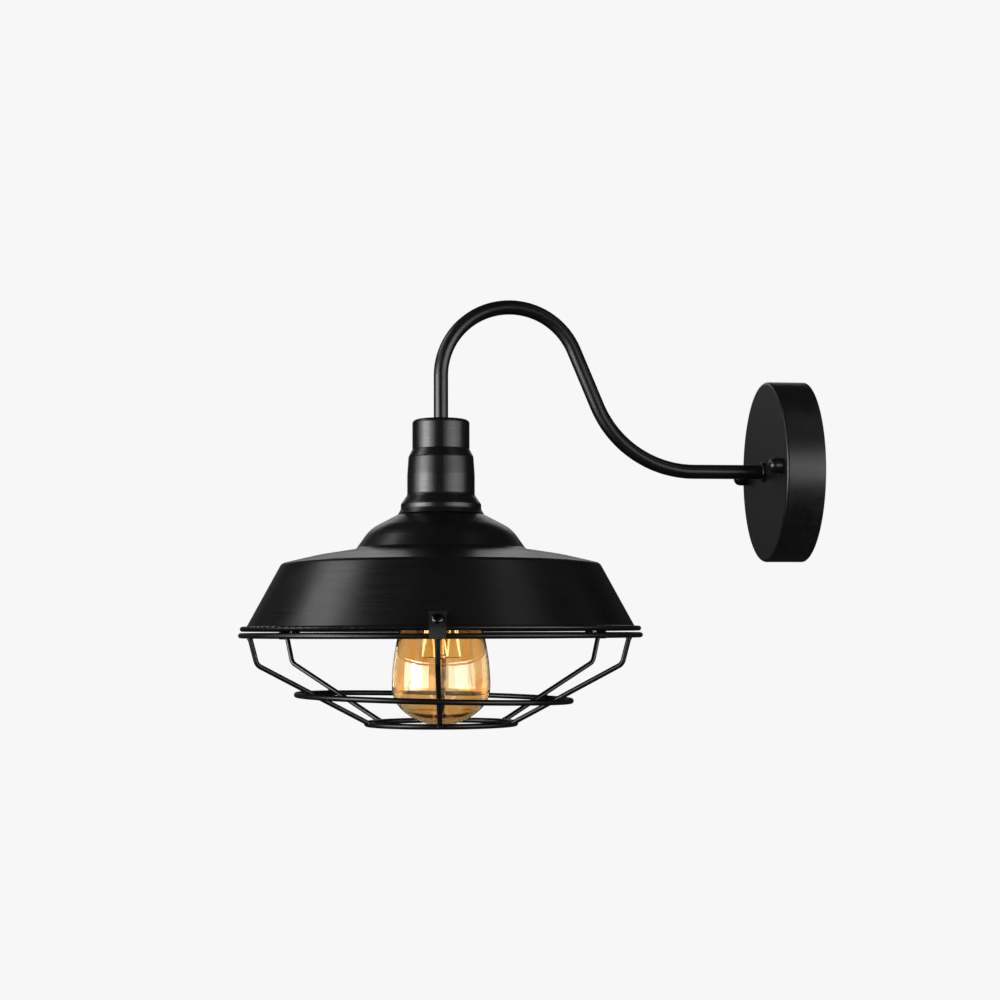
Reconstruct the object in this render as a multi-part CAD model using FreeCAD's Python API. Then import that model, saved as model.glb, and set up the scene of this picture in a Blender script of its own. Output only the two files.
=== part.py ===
import FreeCAD
import Part
import math
import os

# Cage wall light: a round box on the wall, a bent tube arm, a stepped cup, a barn shade,
# a welded wire guard and a screw-in bulb.
# Millimetres.  +Z is up, the wall is the plane y = 0 and the lamp stands out along -Y.
# The origin is the middle of the round box where it meets the wall.

Vector = FreeCAD.Vector

# ---- running gaps between pieces that fit each other ----
thread_gap = 0.05
hole_gap = 0.25
touch_gap = 0.02
short_of_wall = 0.1

# ---- round box on the wall ----
canopy_radius = 60.0
canopy_depth = 25.4
canopy_wall = 1.0
canopy_edge_round = 1.8

# ---- strap that is screwed to the wall inside the round box ----
strap_past_screws = 7.0
strap_width = 18.0
strap_thickness = 2.0
strap_raise = 4.0
strap_raise_from_screws = 9.0
strap_slot_spacing = 60.0
strap_slot_length = 12.0
strap_slot_width = 5.2
strap_ear_width = 18.0
strap_ear_height = 36.0

# ---- two screws and cap nuts that hold the round box on the strap ----
canopy_screw_inset = 12.0
canopy_screw_radius = 2.0
canopy_screw_head_radius = 3.5
canopy_screw_head_height = 2.4
cap_nut_radius = 5.0
cap_nut_length = 9.0
cap_nut_dome_round = 4.3
cap_nut_bore_depth = 6.5
cap_nut_bore_spare = 1.0

# ---- bent tube arm ----
arm_reach = 241.5
arm_radius = 4.75
arm_bore_radius = 3.2
arm_level_run = 73.0
lower_bend_radius = 70.0
upper_bend_radius = 46.0
arm_rise = 108.5
arm_stub_radius = 4.1
arm_stub_past_nut = 2.0
collar_radius = 6.5
collar_thickness = 2.2
collar_edge_round = 0.6
washer_radius = 9.0
washer_thickness = 1.0
nut_across_flats = 13.0
nut_height = 4.0
lock_nut_height = 3.5

# ---- stepped cup over the lampholder ----
cup_top_z = 33.0
cup_neck_radius = 18.75
cup_neck_foot_z = 13.6
cup_step_radius = 21.3
cup_step_z = 8.6
cup_step_height = 12.0
cup_body_radius = 22.1
cup_body_foot_z = -16.5
cup_foot_radius = 26.3
cup_flare_z = -22.6
cup_lip_z = -26.0
cup_lip_radius = 28.6
cup_lip_drop = 0.9
cup_wall = 0.9

# ---- shade ----
shade_top_z = -28.7
shade_hole_past_thread = 0.4
shade_crown_radius = 26.9
shade_dome_radius = 46.3
shade_dome_z = -38.8
shade_shoulder_radius = 55.6
shade_shoulder_z = -52.05
shade_brow_radius = 80.5
shade_brow_z = -56.05
shade_corner_radius = 103.6
shade_corner_z = -61.5
shade_rim_radius = 126.2
shade_rim_z = -103.2
shade_wall = 1.0
rim_bead_radius = 1.6
rim_bead_offset = 2.1

# ---- lampholder ----
holder_radius = 17.2
holder_wall = 2.0
holder_neck_radius = 7.5
holder_neck_top_z = 24.0
holder_neck_length = 8.0
holder_split_z = -6.0
holder_floor_thickness = 14.0
holder_flange_radius = 23.0
holder_flange_thickness = 4.0
holder_thread_radius = 20.2
holder_thread_length = 16.0
holder_mouth_radius = 18.5
holder_mouth_z = -50.0
holder_bore_past_shell = 0.2
shade_ring_radius = 25.5
shade_ring_height = 6.0
shell_past_cap = 0.3
shell_thickness = 0.4
shell_length = 25.0
shell_hole_radius = 8.0
terminal_offset = 8.5
terminal_size = 5.0
terminal_height = 4.6
lead_screw_radius = 1.4
lead_screw_head_radius = 2.2
lead_screw_head_height = 1.4
lead_screw_length = 2.0
tongue_width = 5.0
tongue_thickness = 0.4

# ---- bulb ----
bulb_length = 140.0
bulb_foot_z = -26.3
bulb_radius = 32.0
bulb_base_height = 25.0
bulb_corner_round = 20.0
bulb_belly_round = 145.0
bulb_shoulder_round = 30.0
bulb_neck_radius = 11.6
bulb_wall = 0.9
cap_crest_over_neck = 1.5
cap_root_over_neck = 0.6
cap_pitch = 3.629
cap_turns = 5
cap_skirt_length = 2.4
glass_below_cap_top = 8.0
foot_radius = 4.8
foot_thickness = 1.6
insulator_height = 4.0
insulator_radius = 10.6
stem_rod_radius = 2.0
stem_length = 84.0
stem_flare_length = 16.0
stem_button_radius = 3.0
filament_wire_radius = 0.35
filament_hook_radius = 0.3
filament_top_radius = 9.0
filament_foot_radius = 13.0
filament_strands = 8
filament_above_button = 44.0

# ---- wire guard ----
top_ring_past_bead = 1.0
top_ring_wire = 1.7
top_ring_tilt = 0.36
middle_ring_radius = 88.8
middle_ring_wire = 1.8
middle_ring_tilt = 1.5
bottom_ring_radius = 48.2
bottom_ring_drop = 61.7
bottom_ring_wire = 1.8
rib_wire = 1.6
rib_bend_radius = 6.0
rib_knee_inset = 5.0
rib_knee_drop = 23.0
front_rib_angle = -5.2
gap_beside_front_rib = 66.3
gap_at_sides = 57.5
tab_width = 11.0
tab_foot_width = 9.4
tab_thickness = 1.2
tab_rise = 8.4
tab_drop = 7.2
tab_bend_radius = 2.2
screw_place_on_tab = 0.53
screw_hole_length = 16.0
guard_screw_radius = 2.0
guard_screw_head_radius = 3.9
guard_screw_head_height = 2.4
guard_screw_length = 11.0
guard_nut_across_flats = 7.0
guard_nut_height = 3.2
recess_width = 1.0
recess_depth = 1.1

# ---- terminal block and leads ----
lead_radius = 0.9
lead_offset = 1.3
block_pitch = 9.0
block_width = 30.0
block_depth = 11.0
block_height = 16.0
block_foot_z = 26.0
clamp_radius = 2.2
clamp_length = 12.0
clamp_screw_radius = 1.3
block_screw_head_radius = 2.4
block_screw_head_height = 1.6
earth_screw_x = 13.0
earth_screw_head_radius = 2.7
earth_screw_head_height = 2.0
lug_radius = 3.4
lug_thickness = 0.8
lug_barrel_radius = 1.5
lug_barrel_length = 5.0
lug_barrel_overlap = 0.6

# ---- sizes that follow from those above ----
canopy_screw_spacing = 2 * (canopy_radius - canopy_screw_inset)
strap_length = canopy_screw_spacing + 2 * strap_past_screws
strap_middle_length = canopy_screw_spacing - 2 * strap_raise_from_screws
cap_crest_radius = bulb_neck_radius + cap_crest_over_neck
cap_root_radius = bulb_neck_radius + cap_root_over_neck
shell_bore_radius = cap_crest_radius + shell_past_cap
holder_bore_radius = shell_bore_radius + shell_thickness + holder_bore_past_shell
shade_hole_radius = holder_thread_radius + shade_hole_past_thread
rim_bead_z = shade_rim_z - shade_wall / 2
top_ring_radius = shade_rim_radius + rim_bead_offset + top_ring_past_bead
rib_knee_radius = top_ring_radius - rib_knee_inset
rib_knee_z = shade_rim_z - rib_knee_drop
bottom_ring_z = shade_rim_z - bottom_ring_drop
tab_top_z = shade_rim_z + tab_rise
tab_foot_z = shade_rim_z - tab_drop

lamp_axis = Vector(0, -arm_reach, 0)
up = Vector(0, 0, 1)
outward = Vector(0, -1, 0)


def unit(direction):
    return direction * (1.0 / direction.Length)


def line_if_long(edges, start, end):
    if (end - start).Length > 1e-6:
        edges.append(Part.LineSegment(start, end).toShape())


def rounded_edges(points, radii):
    """Straight runs joined by tangent arcs, with one radius for each inner point, 0 for a sharp corner."""
    edges = []
    start = points[0]
    for corner, following, radius in zip(points[1:-1], points[2:], radii):
        before = unit(corner - start)
        after = unit(following - corner)
        half_turn = before.getAngle(after) / 2
        if radius <= 0 or half_turn < 1e-5:
            line_if_long(edges, start, corner)
            start = corner
            continue
        setback = radius * math.tan(half_turn)
        arc_start = corner - before * setback
        arc_end = corner + after * setback
        inward = unit(after - before)
        arc_middle = corner + inward * (radius / math.cos(half_turn) - radius)
        line_if_long(edges, start, arc_start)
        edges.append(Part.Arc(arc_start, arc_middle, arc_end).toShape())
        start = arc_end
    line_if_long(edges, start, points[-1])
    return edges


def turn_side(corners, index):
    before = unit(corners[index] - corners[index - 1])
    after = unit(corners[index + 1] - corners[index])
    return before.x * after.z - before.z * after.x


def offset_corners(corners, distance):
    """The same open outline in the XZ plane, moved to the left of its direction by a distance."""
    moved = []
    last = len(corners) - 1
    for index, corner in enumerate(corners):
        before = unit(corners[index] - corners[index - 1]) if index > 0 else None
        after = unit(corners[index + 1] - corners[index]) if index < last else None
        before = before or after
        after = after or before
        normal_before = Vector(-before.z, 0, before.x)
        normal_after = Vector(-after.z, 0, after.x)
        spread = 1 + normal_before.dot(normal_after)
        moved.append(corner + (normal_before + normal_after) * (distance / spread))
    return moved


def offset_radii(corners, radii, distance):
    moved = []
    for index, radius in enumerate(radii):
        side = turn_side(corners, index + 1)
        change = -distance if side > 0 else distance
        moved.append(max(radius + change, 0) if radius > 0 else 0)
    return moved


def sheet_face(corners, radii, left, right):
    """The face between an outline moved left by one distance and right by another."""
    left_corners = offset_corners(corners, left)
    right_corners = offset_corners(corners, -right)
    left_edges = rounded_edges(left_corners, offset_radii(corners, radii, left))
    right_edges = rounded_edges(right_corners, offset_radii(corners, radii, -right))
    ends = []
    line_if_long(ends, left_corners[0], right_corners[0])
    line_if_long(ends, left_corners[-1], right_corners[-1])
    sorted_edges = Part.__sortEdges__(left_edges + right_edges + ends)
    return Part.Face(Part.Wire(sorted_edges))


def profile(pairs):
    return [Vector(radius, 0, height) for radius, height in pairs]


def closed_face(points, radii):
    """A face inside a closed outline whose first corner stays sharp."""
    edges = rounded_edges(points + [points[0]], radii)
    return Part.Face(Part.Wire(edges))


def spin(face):
    return face.revolve(Vector(0, 0, 0), up, 360)


def turned(pairs, radii=None):
    """A solid of revolution about Z from a closed outline of (radius, height) pairs."""
    points = profile(pairs)
    radii = radii or [0] * (len(points) - 1)
    return spin(closed_face(points, radii))


def ring_of_height(outer, inner, low, height):
    return turned([(inner, low), (outer, low), (outer, low + height), (inner, low + height)])


def at_lamp(shape):
    moved = shape.copy()
    moved.translate(lamp_axis)
    return moved


def out_from_wall(shape):
    """Turns a shape built upwards from z = 0 so that it stands out from the wall along -Y."""
    moved = shape.copy()
    moved.rotate(Vector(0, 0, 0), Vector(1, 0, 0), 90)
    return moved


def hexagon_nut(across_flats, height, bore):
    corner_radius = across_flats / math.sqrt(3)
    corners = [Vector(corner_radius * math.cos(math.radians(60 * step)),
                      corner_radius * math.sin(math.radians(60 * step)), 0) for step in range(7)]
    block = Part.Face(Part.makePolygon(corners)).extrude(up * height)
    chamfer = 0.12 * corner_radius
    bevel = turned([(0, 0), (corner_radius, 0), (corner_radius, height - chamfer),
                    (corner_radius - 2 * chamfer, height), (0, height)])
    return block.common(bevel).cut(Part.makeCylinder(bore, height * 3, Vector(0, 0, -height)))


def pan_head_screw(head_radius, head_height, shank_radius, shank_length):
    """Head above z = 0 with a cross recess, shank below."""
    head = turned([(0, 0), (head_radius, 0), (head_radius, head_height), (0, head_height)],
                  [0, head_height * 0.75, 0])
    shank = Part.makeCylinder(shank_radius, shank_length, Vector(0, 0, -shank_length))
    screw = head.fuse(shank)
    reach = head_radius * 1.1
    for length, width in ((reach, recess_width), (recess_width, reach)):
        slot = Part.makeBox(length, width, recess_depth + 1,
                            Vector(-length / 2, -width / 2, head_height - recess_depth))
        screw = screw.cut(slot)
    return screw.removeSplitter()


def tube_along(points, radii, radius):
    path = Part.Wire(rounded_edges(points, radii))
    first_run = unit(points[1] - points[0])
    section = Part.Wire(Part.Circle(points[0], first_run, radius).toShape())
    return path.makePipeShell([section], True, False)


def wire_ring(radius, wire):
    return Part.makeTorus(radius, wire)


# ---- round box, strap and fasteners ----

def canopy_screw_places():
    return [Vector(side * canopy_screw_spacing / 2, 0, 0) for side in (-1, 1)]


def canopy():
    corners = profile([(canopy_radius, 0), (canopy_radius, canopy_depth), (0, canopy_depth)])
    shell = spin(sheet_face(corners, [canopy_edge_round], canopy_wall, 0))
    shell = shell.cut(Part.makeCylinder(arm_stub_radius + hole_gap, canopy_depth * 2))
    for place in canopy_screw_places():
        shell = shell.cut(Part.makeCylinder(canopy_screw_radius + hole_gap, canopy_depth * 2, place))
    return out_from_wall(shell)


def wall_strap():
    half_middle = strap_middle_length / 2
    half_length = strap_length / 2
    half_sheet = strap_thickness / 2
    run = strap_raise
    high = strap_raise + half_sheet
    corners = profile([(-half_length, high), (-half_middle - run, high), (-half_middle, half_sheet),
                       (half_middle, half_sheet), (half_middle + run, high), (half_length, high)])
    strip = sheet_face(corners, [0] * 4, half_sheet, half_sheet)
    strap = strip.extrude(Vector(0, strap_width, 0))
    strap.translate(Vector(0, -strap_width / 2, 0))
    ear = Part.makeBox(strap_ear_width, strap_ear_height, strap_thickness,
                       Vector(-strap_ear_width / 2, strap_width / 2, 0))
    strap = strap.fuse(ear)
    for side in (-1, 1):
        middle = side * strap_slot_spacing / 2
        straight = strap_slot_length - strap_slot_width
        slot = Part.makeBox(straight, strap_slot_width, strap_thickness * 3,
                            Vector(middle - straight / 2, -strap_slot_width / 2, -strap_thickness))
        for end in (-1, 1):
            slot = slot.fuse(Part.makeCylinder(strap_slot_width / 2, strap_thickness * 3,
                                               Vector(middle + end * straight / 2, 0, -strap_thickness)))
        strap = strap.cut(slot)
    for place in canopy_screw_places():
        strap = strap.cut(Part.makeCylinder(canopy_screw_radius + thread_gap, canopy_depth, place))
    strap = strap.cut(Part.makeCylinder(canopy_screw_radius + thread_gap, canopy_depth,
                                        Vector(earth_screw_x, 0, -1)))
    strap = strap.cut(Part.makeCylinder(clamp_screw_radius + thread_gap, canopy_depth,
                                        Vector(block_pitch / 2, block_foot_z + block_height / 2, -1)))
    return out_from_wall(strap.removeSplitter())


def canopy_screw_top():
    return canopy_depth + cap_nut_bore_depth - cap_nut_bore_spare


def canopy_screws():
    length = canopy_screw_top() - strap_raise
    screw = pan_head_screw(canopy_screw_head_radius, canopy_screw_head_height,
                           canopy_screw_radius, length)
    screw.rotate(Vector(0, 0, 0), Vector(1, 0, 0), 180)
    screw.translate(Vector(0, 0, strap_raise))
    return Part.makeCompound([out_from_wall(moved_to(screw, place)) for place in canopy_screw_places()])


def moved_to(shape, place):
    moved = shape.copy()
    moved.translate(place)
    return moved


def canopy_cap_nuts():
    nut = turned([(0, 0), (cap_nut_radius, 0), (cap_nut_radius, cap_nut_length), (0, cap_nut_length)],
                 [0, cap_nut_dome_round, 0])
    nut = nut.cut(Part.makeCylinder(canopy_screw_radius + thread_gap, cap_nut_bore_depth))
    nut.translate(Vector(0, 0, canopy_depth))
    return Part.makeCompound([out_from_wall(moved_to(nut, place)) for place in canopy_screw_places()])


def arm_collar():
    return out_from_wall(turned([(arm_stub_radius + thread_gap, canopy_depth),
                                 (collar_radius, canopy_depth),
                                 (collar_radius, canopy_depth + collar_thickness),
                                 (arm_stub_radius + thread_gap, canopy_depth + collar_thickness)],
                                [0, collar_edge_round, 0]))


def arm_washer_back():
    return canopy_depth - canopy_wall - washer_thickness


def arm_washer():
    return out_from_wall(ring_of_height(washer_radius, arm_stub_radius + thread_gap,
                                        arm_washer_back(), washer_thickness))


def arm_nut_back():
    return arm_washer_back() - nut_height


def arm_nut():
    nut = hexagon_nut(nut_across_flats, nut_height, arm_stub_radius + thread_gap)
    nut.translate(Vector(0, 0, arm_nut_back()))
    return out_from_wall(nut)


# ---- arm ----

def arm_flank_angle():
    """Slope of the straight flank between the two bends, from the two circles' common tangent."""
    across = arm_reach - upper_bend_radius - arm_level_run
    down = lower_bend_radius - (arm_rise - upper_bend_radius)
    between = math.hypot(across, down)
    return math.asin((lower_bend_radius + upper_bend_radius) / between) - math.atan2(down, across)


def arm_corners(start_y, end_z, side):
    """Corner points of the arm's line, at a distance to one side of the arm's own plane."""
    half_slope = math.tan(arm_flank_angle() / 2)
    low_corner = -arm_level_run - lower_bend_radius * half_slope
    crest_corner = -(arm_reach - upper_bend_radius) + upper_bend_radius * half_slope
    return [Vector(side, start_y, 0), Vector(side, low_corner, 0), Vector(side, crest_corner, arm_rise),
            Vector(side, -arm_reach, arm_rise), Vector(side, -arm_reach, end_z)]


arm_bends = [lower_bend_radius, upper_bend_radius, upper_bend_radius]


def arm_inner_end():
    return arm_nut_back() - arm_stub_past_nut


def arm_outer_start():
    return canopy_depth + collar_thickness


def holder_neck_foot_z():
    return holder_neck_top_z - holder_neck_length


def gooseneck_arm():
    body = tube_along(arm_corners(-arm_outer_start(), cup_top_z, 0), arm_bends, arm_radius)
    stub_length = arm_outer_start() - arm_inner_end()
    root = out_from_wall(Part.makeCylinder(arm_stub_radius, stub_length, Vector(0, 0, arm_inner_end())))
    tip_length = cup_top_z - holder_neck_foot_z()
    tip = at_lamp(Part.makeCylinder(arm_stub_radius, tip_length, Vector(0, 0, holder_neck_foot_z())))
    bore = tube_along(arm_corners(-arm_inner_end() + 1, holder_neck_foot_z() - 1, 0),
                      arm_bends, arm_bore_radius)
    return body.fuse([root, tip]).cut(bore).removeSplitter()


# ---- cup, nuts and lampholder ----

def neck_cup():
    corners = profile([(arm_stub_radius + hole_gap, cup_top_z), (cup_neck_radius, cup_top_z),
                       (cup_neck_radius, cup_neck_foot_z), (cup_step_radius, cup_step_z),
                       (cup_body_radius, cup_step_z - cup_step_height), (cup_body_radius, cup_body_foot_z),
                       (cup_foot_radius, cup_flare_z), (cup_foot_radius, cup_lip_z),
                       (cup_lip_radius, shade_top_z - cup_lip_drop)])
    rounds = [2.4, 1.0, 4.0, 10.0, 3.5, 1.6, 3.0]
    below_shade_top = Part.makeCylinder(cup_lip_radius * 2, cup_top_z, Vector(0, 0, shade_top_z - cup_top_z))
    return at_lamp(spin(sheet_face(corners, rounds, 0, cup_wall)).cut(below_shade_top))


def cup_nut():
    nut = hexagon_nut(nut_across_flats, nut_height, arm_stub_radius + thread_gap)
    nut.translate(Vector(0, 0, cup_top_z - cup_wall - nut_height))
    return at_lamp(nut)


def holder_lock_nut():
    nut = hexagon_nut(nut_across_flats, lock_nut_height, arm_stub_radius + thread_gap)
    nut.translate(Vector(0, 0, holder_neck_top_z))
    return at_lamp(nut)


def lampholder_cap():
    shoulder_z = holder_neck_foot_z() - 1.5
    corners = profile([(holder_radius, holder_split_z), (holder_radius, shoulder_z - 4),
                       (holder_neck_radius, shoulder_z), (holder_neck_radius, holder_neck_top_z)])
    dome = spin(sheet_face(corners, [6.0, 2.2], holder_wall, 0))
    bush = ring_of_height(holder_neck_radius, arm_stub_radius + thread_gap,
                          holder_neck_foot_z(), holder_neck_length)
    return at_lamp(dome.fuse(bush).removeSplitter())


def lampholder_body():
    floor_z = holder_split_z - holder_floor_thickness
    flange_top = shade_top_z + holder_flange_thickness
    thread_foot = shade_top_z - holder_thread_length
    body = turned([(0, holder_split_z), (holder_radius, holder_split_z), (holder_radius, flange_top),
                   (holder_flange_radius, flange_top), (holder_flange_radius, shade_top_z),
                   (holder_thread_radius, shade_top_z), (holder_thread_radius, thread_foot),
                   (holder_mouth_radius, thread_foot - 1.5), (holder_mouth_radius, holder_mouth_z),
                   (holder_bore_radius, holder_mouth_z), (holder_bore_radius, floor_z), (0, floor_z)])
    return at_lamp(body)


def shade_ring():
    ring_foot = shade_top_z - shade_wall - shade_ring_height
    return at_lamp(turned([(holder_thread_radius + thread_gap, shade_top_z - shade_wall),
                           (shade_ring_radius, shade_top_z - shade_wall),
                           (shade_ring_radius, ring_foot),
                           (holder_thread_radius + thread_gap, ring_foot)],
                          [0, 1.2, 0]))


def lampholder_shell():
    top = holder_split_z - holder_floor_thickness
    outer = shell_bore_radius + shell_thickness
    return at_lamp(turned([(shell_hole_radius, top), (outer, top), (outer, top - shell_length),
                           (shell_bore_radius, top - shell_length),
                           (shell_bore_radius, top - shell_thickness),
                           (shell_hole_radius, top - shell_thickness)]))


def lampholder_tongue():
    """The sprung centre contact: a strip that runs down from the floor to the bulb's foot."""
    floor_z = holder_split_z - holder_floor_thickness
    foot = bulb_foot_z + tongue_thickness / 2 + touch_gap
    top = floor_z - tongue_thickness / 2
    corners = profile([(-5.5, top), (-1.0, top), (-3.0, foot), (4.0, foot)])
    strip = sheet_face(corners, [0.8, 0.8], tongue_thickness / 2, tongue_thickness / 2)
    tongue = strip.extrude(Vector(0, tongue_width, 0))
    tongue.translate(Vector(0, -tongue_width / 2, 0))
    return at_lamp(tongue)


def terminal_screw_z():
    return holder_split_z + terminal_height / 2


def holder_terminals():
    posts = []
    for side in (-1, 1):
        corner = Vector(side * terminal_offset - terminal_size / 2, -terminal_size / 2, holder_split_z)
        post = Part.makeBox(terminal_size, terminal_size, terminal_height, corner)
        hole_start = Vector(side * terminal_offset, -terminal_size, terminal_screw_z())
        hole = Part.makeCylinder(lead_screw_radius + thread_gap, terminal_size, hole_start, Vector(0, 1, 0))
        posts.append(at_lamp(post.cut(hole)))
    return Part.makeCompound(posts)


def holder_terminal_screws():
    screws = []
    for side in (-1, 1):
        screw = pan_head_screw(lead_screw_head_radius, lead_screw_head_height,
                               lead_screw_radius, lead_screw_length)
        screw.rotate(Vector(0, 0, 0), Vector(1, 0, 0), 90)
        screw.translate(Vector(side * terminal_offset, -terminal_size / 2, terminal_screw_z()))
        screws.append(at_lamp(screw))
    return Part.makeCompound(screws)


# ---- shade ----

def shade_corners():
    return profile([(shade_hole_radius, shade_top_z), (shade_crown_radius, shade_top_z),
                    (shade_dome_radius, shade_dome_z), (shade_shoulder_radius, shade_shoulder_z),
                    (shade_brow_radius, shade_brow_z), (shade_corner_radius, shade_corner_z),
                    (shade_rim_radius, shade_rim_z), (bead_centre_radius(), shade_rim_z)])


shade_rounds = [1.2, 24.0, 3.2, 120.0, 3.8, 1.0]


def bead_centre_radius():
    return shade_rim_radius + rim_bead_offset


def screw_line(angle):
    """Foot point and direction of a guard screw, square to the tab's sloping part."""
    top = tab_top_radius()
    run = Vector(tab_face_radius() - top, 0, tab_bend_z() - tab_top_z)
    along = unit(run)
    normal = Vector(-along.z, 0, along.x)
    middle = Vector(top, 0, tab_top_z) + along * (run.Length * screw_place_on_tab)
    return turned_about_lamp(middle, angle), turned_about_lamp(normal, angle)


def screw_hole(middle, normal):
    return Part.makeCylinder(guard_screw_radius + hole_gap, screw_hole_length,
                             middle - normal * (screw_hole_length / 2), normal)


def turned_about_lamp(vector, angle):
    turn = FreeCAD.Rotation(up, angle)
    return turn.multVec(vector)


def barn_shade():
    shell = spin(sheet_face(shade_corners(), shade_rounds, 0, shade_wall))
    bead = wire_ring(bead_centre_radius(), rim_bead_radius)
    bead.translate(Vector(0, 0, rim_bead_z))
    shade = shell.fuse(bead)
    for angle in tab_angles():
        middle, normal = screw_line(angle)
        shade = shade.cut(screw_hole(middle, normal))
    return at_lamp(shade.removeSplitter())


# ---- wire guard ----

def top_ring_z(angle):
    """The ring hangs a little askew: it touches the bead at the back and is lowest in front."""
    tilt = top_ring_radius * math.sin(math.radians(top_ring_tilt))
    touching_z = rim_bead_z - rim_bead_radius - touch_gap - top_ring_wire
    return touching_z - tilt * (1 + math.cos(math.radians(angle)))


def rib_angles():
    front = front_rib_angle
    side = front + gap_beside_front_rib
    back = side + gap_at_sides
    return [front, side, back, front + 180, 2 * front - back, 2 * front - side]


def tab_angles():
    angles = rib_angles()
    return [angles[0], angles[2], angles[4]]


def rib_slope():
    """Radius that a rib gains for each millimetre of height on its lower run."""
    return (rib_knee_radius - bottom_ring_radius) / (rib_knee_z - bottom_ring_z)


def guard_rib(angle):
    points = profile([(top_ring_radius, top_ring_z(angle)), (rib_knee_radius, rib_knee_z),
                      (bottom_ring_radius, bottom_ring_z)])
    rib = tube_along(points, [rib_bend_radius], rib_wire)
    rib.rotate(Vector(0, 0, 0), up, angle)
    rib = rib.cut(plain_top_ring()).cut(plain_bottom_ring())
    return at_lamp(rib)


def plain_top_ring():
    ring = wire_ring(top_ring_radius, top_ring_wire)
    ring.rotate(Vector(0, 0, 0), Vector(0, 1, 0), top_ring_tilt)
    return moved_to(ring, Vector(0, 0, (top_ring_z(0) + top_ring_z(180)) / 2))


def plain_bottom_ring():
    return moved_to(wire_ring(bottom_ring_radius, bottom_ring_wire), Vector(0, 0, bottom_ring_z))


def middle_ring():
    """The ring lies on the ribs from outside, a little askew, so it has slid towards its high side."""
    slope = rib_slope()
    fall = unit(Vector(slope, 0, 1))
    square_out = Vector(fall.z, 0, -fall.x)
    reach = rib_wire + middle_ring_wire + touch_gap + 0.1
    rib_z_at_ring = rib_knee_z - (rib_knee_radius - middle_ring_radius + square_out.x * reach) / slope
    ring_z = rib_z_at_ring + square_out.z * reach
    slide = slope * middle_ring_radius * math.sin(math.radians(middle_ring_tilt))
    ring = wire_ring(middle_ring_radius, middle_ring_wire)
    ring.rotate(Vector(0, 0, 0), Vector(1, 0, 0), -middle_ring_tilt)
    ring.translate(Vector(0, -slide, ring_z))
    return at_lamp(ring)


def cone_radius_at(height):
    slope = (shade_rim_radius - shade_corner_radius) / (shade_corner_z - shade_rim_z)
    return shade_corner_radius + slope * (shade_corner_z - height)


def tab_top_radius():
    return cone_radius_at(tab_top_z) + touch_gap


def tab_face_radius():
    return top_ring_radius + top_ring_wire + touch_gap


def tab_bend_z():
    """Height where the tab's sloping part, which rests on the rim bead, meets its upright part."""
    across = bead_centre_radius() - tab_top_radius()
    down = tab_top_z - rim_bead_z
    lean = math.atan2(across, down) + math.asin((rim_bead_radius + touch_gap) / math.hypot(across, down))
    return tab_top_z - (tab_face_radius() - tab_top_radius()) / math.tan(lean)


def guard_tab(angle):
    corners = profile([(tab_top_radius(), tab_top_z), (tab_face_radius(), tab_bend_z()),
                       (tab_face_radius(), tab_foot_z)])
    strip = sheet_face(corners, [tab_bend_radius], tab_thickness, 0)
    plate = strip.extrude(Vector(0, tab_width, 0))
    plate.translate(Vector(0, -tab_width / 2, 0))
    half_top = tab_width / 2
    half_foot = tab_foot_width / 2
    outline = [Vector(0, -half_top, tab_top_z + 2), Vector(0, half_top, tab_top_z + 2),
               Vector(0, half_foot, tab_foot_z - 2), Vector(0, -half_foot, tab_foot_z - 2),
               Vector(0, -half_top, tab_top_z + 2)]
    taper = Part.Face(Part.makePolygon(outline)).extrude(Vector(canopy_radius + top_ring_radius, 0, 0))
    plate = plate.common(taper)
    middle, normal = screw_line(0)
    plate = plate.cut(screw_hole(middle, normal))
    plate.rotate(Vector(0, 0, 0), up, angle)
    return at_lamp(plate)


def placed_on_line(shape, foot, direction):
    """Moves a shape built upwards from the origin onto a foot point and direction."""
    turn = FreeCAD.Rotation(up, direction)
    moved = shape.copy()
    moved.Placement = FreeCAD.Placement(foot, turn)
    return moved


def guard_screws():
    screw = pan_head_screw(guard_screw_head_radius, guard_screw_head_height,
                           guard_screw_radius, guard_screw_length)
    screws = []
    for angle in tab_angles():
        middle, normal = screw_line(angle)
        screws.append(at_lamp(placed_on_line(screw, middle + normal * (tab_thickness + touch_gap), normal)))
    return Part.makeCompound(screws)


def guard_nut_drop():
    """Distance from the tab's back along the screw to the nut, which touches the shade's inside."""
    middle, normal = screw_line(0)
    steep = (shade_rim_radius - shade_corner_radius) / (shade_corner_z - shade_rim_z)
    cone_normal = unit(Vector(1, 0, steep))
    on_cone = Vector(cone_radius_at(middle.z), 0, middle.z)
    inner_gap = (middle - on_cone).dot(cone_normal) + shade_wall
    facing = normal.dot(cone_normal)
    corner = guard_nut_across_flats / math.sqrt(3)
    return (inner_gap + corner * math.sqrt(1 - facing * facing)) / facing + 0.1


def guard_nuts():
    nut = hexagon_nut(guard_nut_across_flats, guard_nut_height, guard_screw_radius + thread_gap)
    nuts = []
    for angle in tab_angles():
        middle, normal = screw_line(angle)
        foot = middle - normal * (guard_nut_drop() + guard_nut_height)
        nuts.append(at_lamp(placed_on_line(nut, foot, normal)))
    return Part.makeCompound(nuts)


# ---- bulb ----

def bulb_bottom_z():
    return bulb_foot_z - bulb_length


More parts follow.
